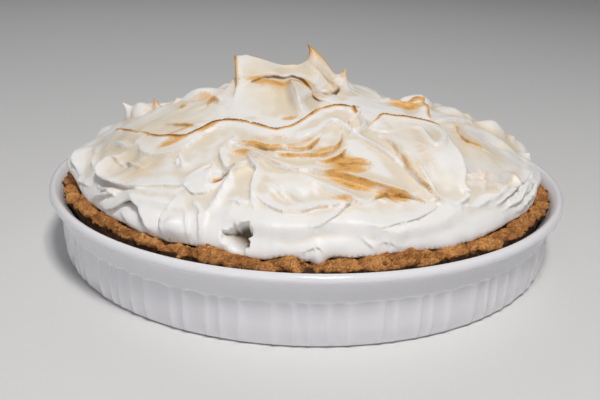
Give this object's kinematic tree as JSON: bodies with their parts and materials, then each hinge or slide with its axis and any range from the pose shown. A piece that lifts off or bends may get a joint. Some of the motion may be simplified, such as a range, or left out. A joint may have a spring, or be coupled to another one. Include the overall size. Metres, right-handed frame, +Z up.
{
  "type": "lemon meringue pie in a baking dish",
  "caption": "Whole lemon meringue pie: swirled, toasted meringue heaped on a crumb crust in a shallow fluted ceramic dish with a rolled rim.",
  "frame": {"origin": "centre of the dish's underside, in the plane of its foot ring", "axes": "+Z up along the dish's axis, -Y the front of the pie, +X to its right"},
  "size_m": [0.268, 0.2678, 0.1015],
  "materials": {
    "dish_glaze": "glossy white glaze",
    "baked_crumb": "rough baked crumb",
    "baked_meringue": "soft satin egg-white foam, toasted on its ridges"
  },
  "bodies": {
    "root": {"dish": "dish_glaze", "crust": "baked_crumb", "meringue": "baked_meringue"}
  },
  "joints": []
}
